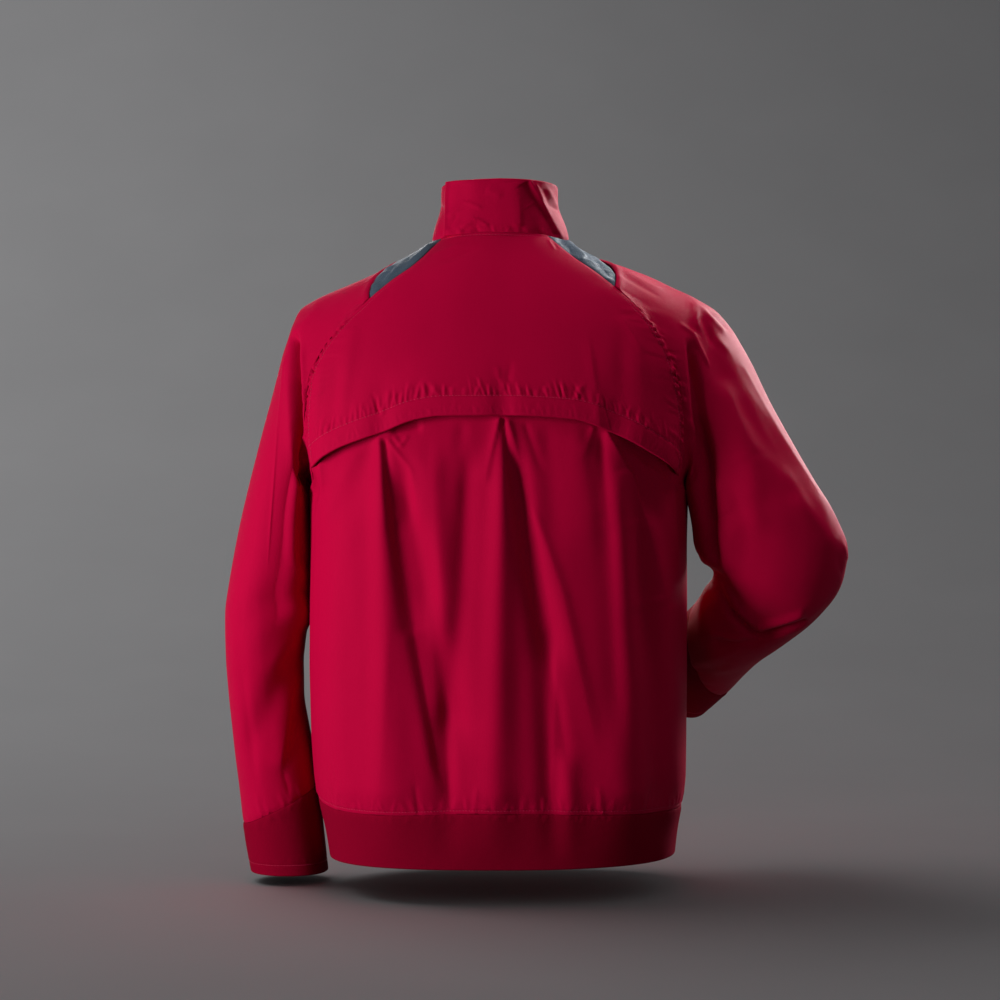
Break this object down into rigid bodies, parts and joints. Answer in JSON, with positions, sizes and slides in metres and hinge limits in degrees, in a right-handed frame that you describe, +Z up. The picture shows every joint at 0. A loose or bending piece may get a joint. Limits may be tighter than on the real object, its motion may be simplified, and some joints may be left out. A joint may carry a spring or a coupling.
{
  "type": "windbreaker",
  "caption": "Zip-front windbreaker with raglan sleeves, shoulder inserts and a vented back yoke, hollow and filled out as worn.",
  "frame": {"origin": "middle of the neck opening, level with the back neck seam, where the wearer's shoulders hold the garment", "axes": "+Z up the wearer's spine, -Y out of the zip front, +X to the wearer's left"},
  "size_m": [0.6701, 0.3493, 0.7504],
  "materials": {
    "woven": "crimson woven polyester with a slight sheen",
    "knit": "dark crimson smooth matt knit",
    "satin": "slate grey-blue satin weave",
    "tape": "dark crimson woven zip tape",
    "metal": "dull grey plated metal"
  },
  "bodies": {
    "garment": {"back_yoke": "woven", "back_lower": "woven", "front_left": "woven", "front_right": "woven", "sleeve_left": "woven", "sleeve_right": "woven", "cuff_left": "knit", "cuff_right": "knit", "insert_left": "satin", "insert_right": "satin", "collar": "woven", "hem_band": "knit", "zip_tape": "tape", "zip_slider": "metal"},
    "pull": {"zip_pull": "metal"}
  },
  "joints": [
    {"name": "pull_swing", "type": "hinge", "parent": "garment", "child": "pull", "pos_m": [0, -0.07619, -0.0046], "axis": [-1, 0, 0], "range_deg": [0, 150]}
  ]
}
